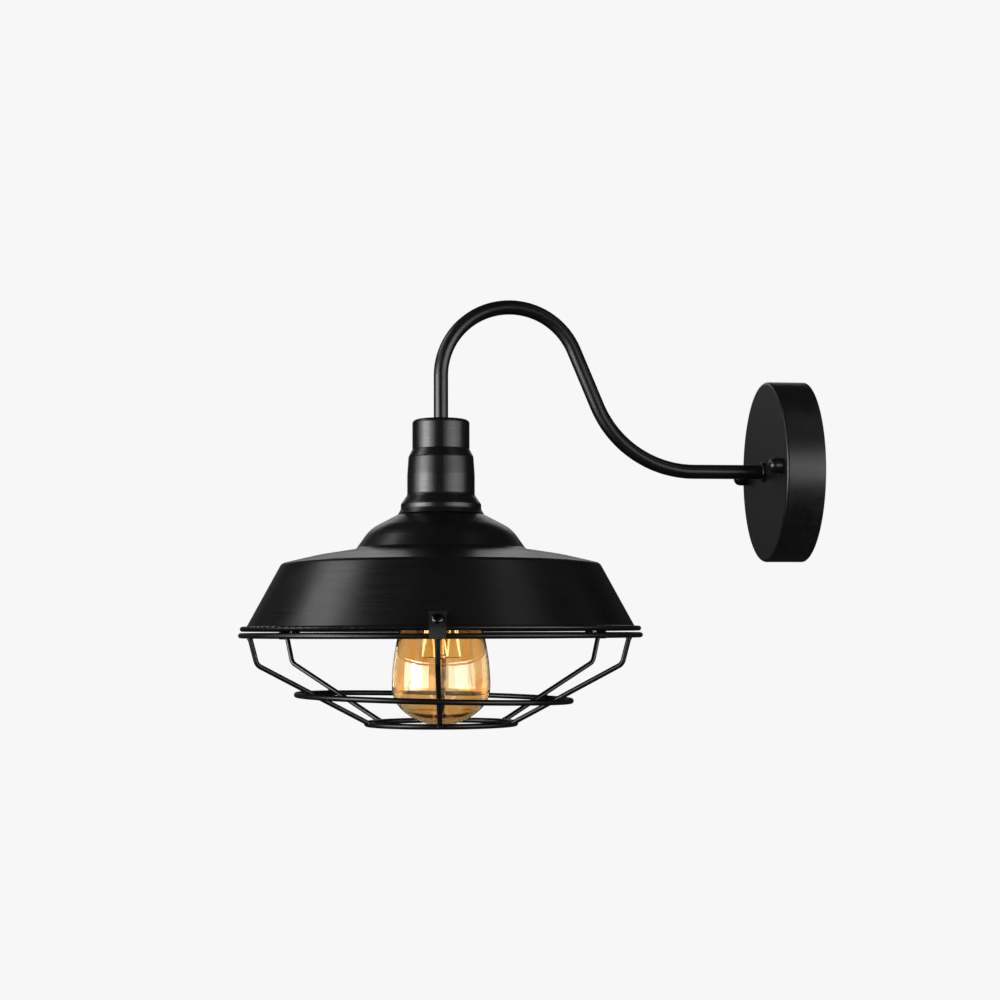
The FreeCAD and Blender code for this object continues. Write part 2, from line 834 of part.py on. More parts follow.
def bulb_outline(inset):
    """Tangent arcs from the neck to the tip, each moved in by the same inset."""
    wide_z = bulb_bottom_z() + bulb_base_height
    belly_x = bulb_radius - bulb_belly_round
    shoulder_x = bulb_neck_radius + bulb_shoulder_round
    climb = math.sqrt((bulb_belly_round + bulb_shoulder_round) ** 2 - (shoulder_x - belly_x) ** 2)
    shoulder_z = wide_z + climb
    corner_x = bulb_radius - bulb_corner_round
    rise = bulb_base_height - bulb_corner_round
    tip_round = (corner_x ** 2 + bulb_base_height ** 2 - bulb_corner_round ** 2) / (2 * rise)
    tip_z = bulb_bottom_z() + tip_round
    belly_centre = Vector(belly_x, 0, wide_z)
    shoulder_centre = Vector(shoulder_x, 0, shoulder_z)
    corner_centre = Vector(corner_x, 0, wide_z)
    tip_centre = Vector(0, 0, tip_z)
    belly = bulb_belly_round - inset
    shoulder = bulb_shoulder_round + inset
    corner = bulb_corner_round - inset
    tip = tip_round - inset
    neck_end = Vector(bulb_neck_radius - inset, 0, shoulder_z)
    shoulder_end = shoulder_centre + unit(belly_centre - shoulder_centre) * shoulder
    belly_end = Vector(bulb_radius - inset, 0, wide_z)
    corner_end = tip_centre + unit(corner_centre - tip_centre) * tip
    last = Vector(0, 0, tip_z - tip)
    edges = [arc_about(shoulder_centre, shoulder, neck_end, shoulder_end),
             arc_about(belly_centre, belly, shoulder_end, belly_end),
             arc_about(corner_centre, corner, belly_end, corner_end),
             arc_about(tip_centre, tip, corner_end, last)]
    return neck_end, edges, last


def arc_about(centre, radius, start, end):
    middle = centre + unit((start - centre) + (end - centre)) * radius
    return Part.Arc(start, middle, end).toShape()


def glass_top_z():
    return cap_top_z() - glass_below_cap_top


def bulb_glass():
    outer_start, outer_edges, outer_end = bulb_outline(0)
    inner_start, inner_edges, inner_end = bulb_outline(bulb_wall)
    outer_top = Vector(outer_start.x, 0, glass_top_z())
    inner_top = Vector(inner_start.x, 0, glass_top_z())
    edges = outer_edges + inner_edges
    edges.append(Part.LineSegment(outer_top, outer_start).toShape())
    edges.append(Part.LineSegment(inner_top, inner_start).toShape())
    edges.append(Part.LineSegment(outer_top, inner_top).toShape())
    edges.append(Part.LineSegment(outer_end, inner_end).toShape())
    return at_lamp(spin(Part.Face(Part.Wire(Part.__sortEdges__(edges)))))


def cap_top_z():
    return bulb_foot_z - insulator_height


def bulb_cap():
    """Screw shell whose crests and roots repeat once each pitch."""
    inner = bulb_neck_radius + touch_gap
    height = cap_top_z()
    points = [(inner, height), (cap_root_radius, height)]
    rounds = [0]
    for _ in range(cap_turns):
        points.append((cap_crest_radius, height - cap_pitch * 0.5))
        points.append((cap_root_radius, height - cap_pitch))
        rounds += [0.9, 0.9]
        height -= cap_pitch
    foot = height - cap_skirt_length
    points.append((cap_crest_radius, height - cap_pitch * 0.4))
    points.append((cap_crest_radius, foot))
    points.append((inner, foot))
    rounds += [0.4, 0, 0]
    return at_lamp(turned(points, rounds))


def bulb_insulator():
    top = bulb_foot_z - foot_thickness
    foot = cap_top_z()
    return at_lamp(turned([(0, top), (foot_radius + 0.6, top), (insulator_radius, foot + 0.8),
                           (cap_root_radius - 0.2, foot), (0, foot)]))


def bulb_foot_contact():
    return at_lamp(turned([(0, bulb_foot_z), (foot_radius, bulb_foot_z),
                           (foot_radius, bulb_foot_z - foot_thickness), (0, bulb_foot_z - foot_thickness)],
                          [1.2, 0, 0]))


def stem_top_z():
    return glass_top_z() - 1.0


def stem_foot_z():
    return stem_top_z() - stem_length


def bulb_stem():
    inner_wall = bulb_neck_radius - bulb_wall - touch_gap
    top = stem_top_z()
    return at_lamp(turned([(0, top), (inner_wall, top), (inner_wall, top - 1.5),
                           (stem_rod_radius, top - stem_flare_length), (stem_rod_radius, stem_foot_z() + 3),
                           (stem_button_radius, stem_foot_z() + 2), (stem_button_radius, stem_foot_z()),
                           (0, stem_foot_z())], [0, 0, 6.0, 0, 0.5, 1.0, 0]))


def filament_levels():
    high = stem_foot_z() + filament_above_button
    low = stem_foot_z() + 1.0
    return high, low


def hook_point(step, radius, height):
    angle = math.radians(360.0 * (step + 0.5) / filament_strands)
    return Vector(radius * math.cos(angle), radius * math.sin(angle), height)


def filament_supports():
    """Radial wires from the glass rod, one to each turn of the filament."""
    high, low = filament_levels()
    wires = []
    for step in range(filament_strands):
        height, radius, rod = (high, filament_top_radius, stem_rod_radius)
        if step % 2:
            height, radius, rod = (low, filament_foot_radius, stem_button_radius)
        start = hook_point(step, rod - 0.2, height)
        end = hook_point(step, radius - filament_wire_radius - 0.1, height)
        direction = end - start
        wire = Part.makeCylinder(filament_hook_radius, direction.Length, start, direction)
        rod_solid = Part.makeCylinder(rod, 6, Vector(0, 0, height - 3))
        wires.append(at_lamp(wire.cut(rod_solid)))
    return Part.makeCompound(wires)


def filament():
    """One wire that zigzags round the glass rod like a cage."""
    high, low = filament_levels()
    points = []
    for step in range(filament_strands):
        is_low = step % 2
        radius = filament_foot_radius if is_low else filament_top_radius
        points.append(hook_point(step, radius, low if is_low else high))
    rounds = [1.0] * (len(points) - 2)
    return at_lamp(tube_along(points, rounds, filament_wire_radius))


# ---- terminal block and leads ----

def block_way_x():
    return [-block_pitch, 0, block_pitch]


def block_middle_y():
    return -(strap_thickness + block_depth / 2)


def terminal_block():
    block = Part.makeBox(block_width, block_depth, block_height,
                         Vector(-block_width / 2, -strap_thickness - block_depth, block_foot_z))
    front = -strap_thickness - block_depth - 1
    for x in block_way_x():
        block = block.cut(Part.makeCylinder(clamp_radius + thread_gap, block_height + 2,
                                            Vector(x, block_middle_y(), block_foot_z - 1)))
        for height in block_screw_heights():
            block = block.cut(Part.makeCylinder(clamp_screw_radius + hole_gap, block_depth / 2 + 1,
                                                Vector(x, front, height), Vector(0, 1, 0)))
    block = block.cut(Part.makeCylinder(clamp_screw_radius + hole_gap, block_depth + 2,
                                        Vector(block_pitch / 2, front, block_middle_z()), Vector(0, 1, 0)))
    return block


def block_middle_z():
    return block_foot_z + block_height / 2


def block_screw_heights():
    return [block_middle_z() - clamp_length * 0.3, block_middle_z() + clamp_length * 0.3]


def block_clamps():
    clamps = []
    for x in block_way_x():
        foot = Vector(x, block_middle_y(), block_middle_z() - clamp_length / 2)
        clamp = Part.makeCylinder(clamp_radius, clamp_length, foot)
        clamp = clamp.cut(Part.makeCylinder(lead_radius + hole_gap, clamp_length, foot))
        for height in block_screw_heights():
            clamp = clamp.cut(Part.makeCylinder(clamp_screw_radius + thread_gap, clamp_radius + 1,
                                                Vector(x, block_middle_y(), height), outward))
        clamps.append(clamp)
    return Part.makeCompound(clamps)


def block_screws():
    length = clamp_radius
    screws = []
    for x in block_way_x():
        for height in block_screw_heights():
            foot = Vector(x, block_middle_y() - lead_radius - hole_gap, height)
            screws.append(Part.makeCylinder(clamp_screw_radius, length, foot, outward))
    return Part.makeCompound(screws)


def block_fixing_screw():
    shank = block_depth + strap_thickness - short_of_wall
    screw = pan_head_screw(block_screw_head_radius, block_screw_head_height, clamp_screw_radius, shank)
    screw.rotate(Vector(0, 0, 0), Vector(1, 0, 0), 90)
    screw.translate(Vector(block_pitch / 2, -strap_thickness - block_depth, block_middle_z()))
    return screw


def lead_start_z():
    return block_middle_z() - clamp_length / 2 + 3.0


def lead_points(way_x, side):
    """From the terminal block down to the arm's root, through the arm and out to a terminal post."""
    inside = block_middle_y()
    arm_line = arm_corners(inside, holder_neck_foot_z() - 3.0, side * lead_offset)
    post = side * terminal_offset
    post_top = holder_split_z + terminal_height
    return ([Vector(way_x, inside, lead_start_z()), Vector(way_x, inside, block_foot_z - 2)] + arm_line
            + [Vector(post, -arm_reach, post_top + 5), Vector(post, -arm_reach, post_top)])


def widest_radius(points, index):
    before = points[index] - points[index - 1]
    after = points[index + 1] - points[index]
    turn = before.getAngle(after)
    return 0.45 * min(before.Length, after.Length) / math.tan(turn / 2)


def lead_radii(points):
    """The arm sets its own bends; every other corner has the widest arc that its runs allow."""
    radii = [0, widest_radius(points, 1), widest_radius(points, 2)] + arm_bends
    radii += [widest_radius(points, index) for index in (len(points) - 3, len(points) - 2)]
    return radii[1:]


def lead(name, way_x, side):
    points = lead_points(way_x, side)
    radii = lead_radii(points)
    shape = tube_along(points, radii, lead_radius)
    report_tube(name, points, radii, shape)
    return shape


def report_tube(name, points, radii, shape):
    length = sum(edge.Length for edge in rounded_edges(points, radii))
    section = math.pi * lead_radius ** 2
    rounded = [round(radius, 1) for radius in radii]
    fullness = round(shape.Volume / (section * length), 4)
    print(name, "bend radii", rounded, "volume / section x length", fullness)


def lug_barrel_middle():
    return strap_thickness + lug_barrel_radius + 0.2


def earth_lug():
    face = strap_thickness
    ring = ring_of_height(lug_radius, canopy_screw_radius + hole_gap, face, lug_thickness)
    ring = moved_to(out_from_wall(ring), Vector(earth_screw_x, 0, 0))
    barrel_foot = Vector(earth_screw_x, -lug_barrel_middle(), lug_radius - lug_barrel_overlap)
    barrel = Part.makeCylinder(lug_barrel_radius, lug_barrel_length, barrel_foot)
    return ring.fuse(barrel).removeSplitter()


def earth_screw():
    foot = strap_thickness + lug_thickness
    screw = pan_head_screw(earth_screw_head_radius, earth_screw_head_height,
                           canopy_screw_radius, foot - short_of_wall)
    screw.translate(Vector(0, 0, foot))
    return moved_to(out_from_wall(screw), Vector(earth_screw_x, 0, 0))


def earth_lead():
    way_x = block_pitch
    barrel_top = Vector(earth_screw_x, -lug_barrel_middle(),
                        lug_radius - lug_barrel_overlap + lug_barrel_length)
    points = [Vector(way_x, block_middle_y(), lead_start_z()),
              Vector(way_x, block_middle_y(), block_foot_z - 3), barrel_top + up * 4, barrel_top]
    radii = [widest_radius(points, 1), widest_radius(points, 2)]
    shape = tube_along(points, radii, lead_radius)
    report_tube("earth_lead", points, radii, shape)
    return shape


def save(name, shape):
    shape.exportStep("parts/" + name + ".step")
    print(name, "solids", len(shape.Solids), "valid", shape.isValid(), "volume", round(shape.Volume, 1))


os.makedirs("parts", exist_ok=True)

save("canopy", canopy())
save("wall_strap", wall_strap())
save("canopy_screws", canopy_screws())
save("canopy_cap_nuts", canopy_cap_nuts())
save("arm_collar", arm_collar())
save("arm_washer", arm_washer())
save("arm_nut", arm_nut())
save("gooseneck_arm", gooseneck_arm())
save("neck_cup", neck_cup())
save("cup_nut", cup_nut())
save("holder_lock_nut", holder_lock_nut())
save("lampholder_cap", lampholder_cap())
save("lampholder_body", lampholder_body())
save("lampholder_shell", lampholder_shell())
save("lampholder_tongue", lampholder_tongue())
save("holder_terminals", holder_terminals())
save("holder_terminal_screws", holder_terminal_screws())
save("shade_ring", shade_ring())
save("barn_shade", barn_shade())
save("guard_top_ring", at_lamp(plain_top_ring()))
save("guard_middle_ring", middle_ring())
save("guard_bottom_ring", at_lamp(plain_bottom_ring()))
for number, angle in enumerate(rib_angles(), start=1):
    save("guard_rib_" + str(number), guard_rib(angle))
for number, angle in enumerate(tab_angles(), start=1):
    save("guard_tab_" + str(number), guard_tab(angle))
save("guard_screws", guard_screws())
save("guard_nuts", guard_nuts())
save("bulb_glass", bulb_glass())
save("bulb_cap", bulb_cap())
save("bulb_insulator", bulb_insulator())
save("bulb_foot_contact", bulb_foot_contact())
save("bulb_stem", bulb_stem())
save("filament_supports", filament_supports())
save("filament", filament())
save("terminal_block", terminal_block())
save("block_clamps", block_clamps())
save("block_screws", block_screws())
save("block_fixing_screw", block_fixing_screw())
save("live_lead", lead("live_lead", -block_pitch, -1))
save("neutral_lead", lead("neutral_lead", 0, 1))
save("earth_lead", earth_lead())
save("earth_lug", earth_lug())
save("earth_screw", earth_screw())
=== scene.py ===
import math

import bpy
from mathutils import Matrix, Vector, noise


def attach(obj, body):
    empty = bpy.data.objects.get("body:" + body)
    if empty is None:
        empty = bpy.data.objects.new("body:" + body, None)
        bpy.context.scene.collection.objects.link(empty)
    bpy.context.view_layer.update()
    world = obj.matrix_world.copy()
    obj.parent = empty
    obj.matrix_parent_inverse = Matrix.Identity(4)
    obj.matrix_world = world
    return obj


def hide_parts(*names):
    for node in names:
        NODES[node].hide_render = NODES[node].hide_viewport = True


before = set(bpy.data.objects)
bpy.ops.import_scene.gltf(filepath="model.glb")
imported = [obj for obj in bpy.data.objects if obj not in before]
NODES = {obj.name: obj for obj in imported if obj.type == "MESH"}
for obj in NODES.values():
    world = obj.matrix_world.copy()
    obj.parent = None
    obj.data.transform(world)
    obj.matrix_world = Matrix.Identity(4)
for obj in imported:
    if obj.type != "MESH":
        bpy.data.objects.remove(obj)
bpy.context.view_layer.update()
scene = bpy.context.scene

# ---------------------------------------------------------------- places that the CAD model fixes
# Metres and, for RIB_ANGLES, degrees about the lamp's axis. Pairs are a radius and a height.

LAMP_Y = -0.2415
RIB_ANGLES = (-5.2, 61.1, 118.6, 174.8, -129.0, -71.5)
RIB_KNEE = (0.1243, -0.1262)
RIB_FOOT = (0.0482, -0.1649)
RIB_WIRE = 0.0016
TOP_RING_RADIUS = 0.1293
TOP_RING_BACK_Z = -0.10702
TOP_RING_TILT = math.radians(0.36)
TOP_WIRE = 0.0017
MIDDLE_RADIUS = 0.0888
MIDDLE_Z = -0.1482
MIDDLE_TILT = math.radians(1.5)
MIDDLE_SLIDE = 0.00457
BOTTOM_WIRE = 0.0018
CAP_TOP = -0.0303
CAP_FOOT = -0.0508
CAP_PITCH = 0.003629
CAP_CREST = 0.0131
CAP_ROOT = 0.0122
NECK_RADIUS = 0.0116
FILAMENT_STRANDS = 8
FILAMENT_TOP = (0.009, -0.0793)
FILAMENT_FOOT = (0.013, -0.1223)

# ---------------------------------------------------------------- details of the looks alone
# Lengths are in metres.

WELD_BITE = 0.0002
RIB_WELD_LENGTH = 0.0022
TOP_WELD_SPARE = 0.0004
FOOT_WELD_SPARE = 0.0003
CROSSING_WELD = (0.0042, 0.0011)
WELD_SEEDS = (0.3, 7.1, 13.7)
WELD_STEPS = 14
WELD_ROUNDING = 0.6
WELD_LUMP_SCALE = 900.0
WELD_LUMP_HEIGHT = 0.22
WELD_RIPPLES = 7.0
WELD_RIPPLE_HEIGHT = 0.04
THREAD_SIDES = 96
THREAD_ROWS = 96
THREAD_RUN_IN = 0.0018
THREAD_SKIRT = 0.0030
CAP_GAP = 0.00002
FILAMENT_SETBACK = 0.0016
FILAMENT_BEND_STEPS = 8
COIL_RADIUS = 0.00045
COIL_WIRE = 0.00013
COIL_PITCH = 0.00052
COIL_TURN_STEPS = 8
COIL_SIDES = 5


# ---------------------------------------------------------------- shader graphs

class Graph:
    """A material's node tree, built with short calls."""

    def __init__(self, name):
        self.material = bpy.data.materials.new(name)
        self.material.use_nodes = True
        self.tree = self.material.node_tree
        self.tree.nodes.clear()
        self.out = self.tree.nodes.new("ShaderNodeOutputMaterial")

    def node(self, kind, **inputs):
        made = self.tree.nodes.new("ShaderNode" + kind)
        for key, value in inputs.items():
            self.feed(made, key.replace("_", " "), value)
        return made

    def feed(self, made, key, value):
        """Links or sets one input, which is named or numbered."""
        if isinstance(value, bpy.types.NodeSocket):
            self.tree.links.new(value, made.inputs[key])
        else:
            made.inputs[key].default_value = value

    def math(self, operation, first, second=0.0):
        made = self.node("Math")
        made.operation = operation
        self.feed(made, 0, first)
        self.feed(made, 1, second)
        return made.outputs[0]

    def length(self, first, second):
        squares = [self.math("MULTIPLY", part, part) for part in (first, second)]
        return self.math("SQRT", self.math("ADD", *squares))

    def weighted(self, first, second, share=0.6):
        """A share of the first number and the rest of the second."""
        return self.math("ADD", self.math("MULTIPLY", first, share),
                         self.math("MULTIPLY", second, 1.0 - share))

    def ramp(self, value, low, high, start=0.0, end=1.0):
        """Takes low to start and high to end, and stays level beyond them."""
        made = self.node("MapRange")
        made.clamp = True
        for key, number in zip(("Value", "From Min", "From Max", "To Min", "To Max"),
                               (value, low, high, start, end)):
            self.feed(made, key, number)
        return made.outputs["Result"]

    def position(self):
        """The shaded point's place in the CAD frame, where every piece has its origin."""
        return self.node("TexCoord").outputs["Object"]

    def split_position(self):
        return tuple(self.node("SeparateXYZ", Vector=self.position()).outputs)

    def stretched_position(self, scale):
        return self.node("Mapping", Vector=self.position(), Scale=scale).outputs[0]

    def noise(self, vector, scale, detail=3.0, roughness=0.55, distortion=0.0):
        return self.node("TexNoise", Vector=vector, Scale=scale, Detail=detail,
                         Roughness=roughness, Distortion=distortion).outputs["Fac"]

    def mix(self, factor, first, second):
        made = self.node("Mix")
        made.data_type = "RGBA"
        self.feed(made, 0, factor)
        self.feed(made, 6, first)
        self.feed(made, 7, second)
        return made.outputs[2]

    def mix_shaders(self, factor, first, second):
        made = self.node("MixShader")
        for index, value in enumerate((factor, first, second)):
            self.feed(made, index, value)
        return made.outputs[0]

    def bump(self, height, distance, strength=1.0, normal=None):
        made = self.node("Bump", Height=height, Distance=distance, Strength=strength)
        if normal is not None:
            self.feed(made, "Normal", normal)
        return made.outputs["Normal"]

    def finish(self, shader):
        self.tree.links.new(shader, self.out.inputs["Surface"])
        return self.material

    def principled(self, **inputs):
        return self.finish(self.node("BsdfPrincipled", **inputs).outputs[0])


def opaque(colour):
    return (*colour, 1)


def brightened(colour, gain, lift=0.0):
    return opaque(min(1.0, part * gain + lift) for part in colour)


def spun_vector(graph, about, across, along):
    """Coordinates that run in fine rings about the upright 'lamp' axis or the level 'wall' axis."""
    x, y, z = graph.split_position()
    if about == "lamp":
        first, second, third = x, graph.math("SUBTRACT", y, LAMP_Y), z
    else:
        first, second, third = x, z, y
    radius = graph.length(first, second)
    turned = graph.math("DIVIDE", first, radius)
    return graph.node("CombineXYZ", X=graph.math("MULTIPLY", radius, across),
                      Y=graph.math("MULTIPLY", third, across),
                      Z=graph.math("MULTIPLY", turned, along)).outputs[0]


def worn_edge(graph, low=0.53, high=0.62):
    """Nearly nothing on flats and up to one along sharp outer edges, broken up by noise."""
    edge = graph.ramp(graph.node("NewGeometry").outputs["Pointiness"], low, high)
    patches = graph.ramp(graph.noise(graph.position(), 260.0, 4.0), 0.45, 0.7)
    return graph.math("MULTIPLY", edge, patches)


PAINT_CLOUDS, PAINT_SPECKS, PAINT_GRAINS = 34.0, 900.0, 2600.0
FINE_RINGS, BROAD_RINGS = 1500.0, 260.0
WORN_PAINT = (0.03, 0.0295, 0.029, 1)


def black_paint(name, spun=None, base=0.0019, rough=0.31, peel=9e-6):
    """Cloudy, finely grained black coat with paler edges; spun sheet also shows lathe rings."""
    graph = Graph(name)
    position = graph.position()
    clouds = graph.noise(position, PAINT_CLOUDS, 4.0)
    grains = graph.noise(position, PAINT_GRAINS, 2.0)
    specks = graph.noise(position, PAINT_SPECKS, 3.0)
    dark = (base * 0.80, base * 0.80, base * 0.82, 1)
    light = (base * 1.30, base * 1.29, base * 1.28, 1)
    colour = graph.mix(graph.ramp(clouds, 0.3, 0.7), dark, light)
    colour = graph.mix(graph.math("MULTIPLY", worn_edge(graph), 0.35), colour, WORN_PAINT)
    roughness = graph.ramp(clouds, 0.25, 0.75, rough - 0.035, rough + 0.04)
    normal = None
    if spun:
        rings = graph.noise(spun_vector(graph, spun, FINE_RINGS, 3.0), 1.0, 4.0, 0.7)
        broad = graph.noise(spun_vector(graph, spun, BROAD_RINGS, 2.0), 1.0, 3.0)
        roughness = graph.math("ADD", roughness, graph.ramp(rings, 0.3, 0.7, -0.05, 0.06))
        ring_colour = opaque([base * 1.9] * 3)
        colour = graph.mix(graph.ramp(rings, 0.35, 0.8, 0.0, 0.5), colour, ring_colour)
        normal = graph.bump(broad, 3.0e-5, normal=graph.bump(rings, 1.1e-5))
    normal = graph.bump(graph.weighted(specks, grains), peel, normal=normal)
    return graph.principled(Base_Color=colour, Roughness=roughness, Normal=normal,
                            Specular_IOR_Level=0.75)


LINE_DEPTH, LINE_STRENGTH = 4e-6, 0.5
GLOW_COLOUR = (1.0, 0.90, 0.74, 1)


def metal(name, dark, light, rough, grain, axis_scale, metallic=1.0, glow=0.0):
    """Bare or plated metal with fine drawn lines, cloudy tarnish and light edges."""
    graph = Graph(name)
    lines = graph.noise(graph.stretched_position(axis_scale), grain, 4.0, 0.65)
    clouds = graph.noise(graph.position(), 120.0, 4.0)
    colour = graph.mix(graph.ramp(clouds, 0.3, 0.72), opaque(dark), opaque(light))
    colour = graph.mix(graph.math("MULTIPLY", worn_edge(graph, 0.52, 0.6), 0.6), colour,
                       brightened(light, 1.25))
    roughness = graph.math("ADD", graph.ramp(clouds, 0.3, 0.7, rough - 0.06, rough + 0.08),
                           graph.ramp(lines, 0.3, 0.7, -0.06, 0.06))
    return graph.principled(Base_Color=colour, Roughness=roughness,
                            Normal=graph.bump(lines, LINE_DEPTH, LINE_STRENGTH),
                            Metallic=metallic, Emission_Color=GLOW_COLOUR,
                            Emission_Strength=glow)


def plastic(name, dark, light, rough, peel=6e-6):
    """Moulded plastic or insulation: faint clouds, a fine grain and paler edges."""
    graph = Graph(name)
    position = graph.position()
    clouds = graph.noise(position, 60.0, 3.0)
    grains = graph.noise(position, 1500.0, 3.0)
    colour = graph.mix(graph.ramp(clouds, 0.3, 0.7), opaque(dark), opaque(light))
    colour = graph.mix(graph.math("MULTIPLY", worn_edge(graph), 0.4), colour,
                       brightened(light, 1.6, 0.02))
    roughness = graph.ramp(clouds, 0.25, 0.75, rough - 0.05, rough + 0.07)
    return graph.principled(Base_Color=colour, Roughness=roughness,
                            Normal=graph.bump(grains, peel))


DEEP_LACQUER = (0.95, 0.84, 0.60)
PALE_LACQUER = (1.02, 1.15, 1.60)
PALEST = 0.99


def glass(name, tint, ripple, coat=None):
    """Blown glass with faint long ripples and a colour that drifts in upright streaks."""
    graph = Graph(name)
    waves = graph.noise(graph.stretched_position((1.0, 1.0, 0.28)), 55.0, 2.0, 0.4, 0.6)
    streaks = graph.noise(graph.stretched_position((1.0, 1.0, 0.10)), 120.0, 4.0, 0.6, 0.3)
    drift = graph.weighted(streaks, graph.noise(graph.position(), 26.0, 2.0))
    deep = opaque(part * gain for part, gain in zip(tint, DEEP_LACQUER))
    pale = opaque(min(PALEST, part * gain) for part, gain in zip(tint, PALE_LACQUER))
    coating = {"Coat_Weight": 1.0, "Coat_IOR": coat, "Coat_Roughness": 0.0} if coat else {}
    return graph.principled(Base_Color=graph.mix(graph.ramp(drift, 0.40, 0.60), deep, pale),
                            Normal=graph.bump(waves, ripple), Roughness=0.0, IOR=1.5,
                            Transmission_Weight=1.0, **coating)


EVEN = (1, 1, 1)
WIRE_METAL = ((0.62, 0.40, 0.18), (0.84, 0.60, 0.32), 0.45, 3000.0, EVEN)

MATERIALS = {
    "shade": black_paint("paint_spun_shade", "lamp"),
    "cup": black_paint("paint_spun_cup", "lamp", rough=0.30),
    "canopy": black_paint("paint_spun_canopy", "wall", rough=0.37),
    "arm": black_paint("paint_tube"),
    "wire": black_paint("paint_wire", rough=0.33, peel=1.4e-5),
    "tab": black_paint("paint_tab", base=0.0075, rough=0.46, peel=2.6e-5),
    "nut": black_paint("paint_nut", "wall", rough=0.28),
    "screw": metal("black_oxide", (0.085, 0.085, 0.086), (0.14, 0.139, 0.137),
                   0.25, 900.0, EVEN),
    "zinc": metal("zinc_plate", (0.50, 0.50, 0.48), (0.66, 0.66, 0.65),
                  0.34, 700.0, (0.12, 1, 1)),
    "brass": metal("brass", (0.55, 0.38, 0.15), (0.76, 0.57, 0.26),
                   0.30, 700.0, (1, 1, 0.12)),
    "cap": metal("lamp_cap", (0.52, 0.42, 0.24), (0.74, 0.63, 0.42),
                 0.27, 500.0, (0.2, 0.2, 1)),
    "filament": metal("filament_wire", *WIRE_METAL, metallic=0.3),
    "coil": metal("glowing_coil", *WIRE_METAL, metallic=0.3, glow=2.4),
    "black_plastic": plastic("moulded_black", (0.010, 0.010, 0.011),
                             (0.020, 0.020, 0.020), 0.42),
    "pale_plastic": plastic("moulded_pale", (0.70, 0.68, 0.62), (0.80, 0.79, 0.74), 0.44),
    "lead_black": plastic("lead_black", (0.012, 0.012, 0.013), (0.024, 0.024, 0.024),
                          0.32, 3e-6),
    "lead_white": plastic("lead_white", (0.70, 0.70, 0.68), (0.80, 0.80, 0.78), 0.32, 3e-6),
    "lead_green": plastic("lead_green", (0.030, 0.18, 0.035), (0.045, 0.25, 0.05),
                          0.32, 3e-6),
    "amber": glass("amber_glass", (0.995, 0.69, 0.325), 2.2e-5, coat=2.0),
    "clear": glass("clear_glass", (0.97, 0.97, 0.95), 1.0e-5),
}

# Each finish with the CAD nodes that have it.
FINISHED = {
    "shade": ["barn_shade"],
    "cup": ["neck_cup"],
    "canopy": ["canopy"],
    "arm": ["gooseneck_arm"],
    "wire": ["guard_top_ring", "guard_middle_ring", "guard_bottom_ring", "guard_rib_1",
             "guard_rib_2", "guard_rib_3", "guard_rib_4", "guard_rib_5", "guard_rib_6"],
    "tab": ["guard_tab_1", "guard_tab_2", "guard_tab_3"],
    "nut": ["canopy_cap_nuts", "arm_collar"],
    "screw": ["guard_screws"],
    "zinc": ["wall_strap", "canopy_screws", "arm_washer", "arm_nut", "cup_nut",
             "holder_lock_nut", "guard_nuts", "block_screws", "block_fixing_screw",
             "earth_screw"],
    "brass": ["lampholder_shell", "lampholder_tongue", "holder_terminals",
              "holder_terminal_screws", "block_clamps", "earth_lug"],
    "cap": ["bulb_cap", "bulb_foot_contact"],
    "filament": ["filament_supports", "filament"],
    "black_plastic": ["lampholder_cap", "lampholder_body", "shade_ring", "bulb_insulator"],
    "pale_plastic": ["terminal_block"],
    "lead_black": ["live_lead"],
    "lead_white": ["neutral_lead"],
    "lead_green": ["earth_lead"],
    "amber": ["bulb_glass"],
    "clear": ["bulb_stem"],
}


def give(obj, material):
    obj.data.materials.clear()
    obj.data.materials.append(material)


for finish_name, node_names in FINISHED.items():
    for node_name in node_names:
        give(NODES[node_name], MATERIALS[finish_name])


# ---------------------------------------------------------------- meshes

def new_piece(name, vertices, faces, material, body, slot_name):
    mesh = bpy.data.meshes.new(name)
    mesh.from_pydata(vertices, [], faces)
    mesh.validate()
    mesh.shade_smooth()
    obj = bpy.data.objects.new(name, mesh)
    scene.collection.objects.link(obj)
    give(obj, material)
    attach(obj, body)
    return obj


def about_lamp(radius, angle, height):
    turn = math.radians(angle)
    return Vector((radius * math.cos(turn), LAMP_Y + radius * math.sin(turn), height))


def band(first, second, around, flipped=False):
    """Quads between two rings of vertices, each ring given by the index that it starts at."""
    quads = []
    for spoke in range(around):
        following = (spoke + 1) % around
        quad = (first + spoke, first + following, second + following, second + spoke)
        quads.append(quad[:1] + quad[:0:-1] if flipped else quad)
    return quads


def joined(parts):
    vertices, faces = [], []
    for points, polygons in parts:
        start = len(vertices)
        vertices += points
        faces += [tuple(start + index for index in polygon) for polygon in polygons]
    return vertices, faces


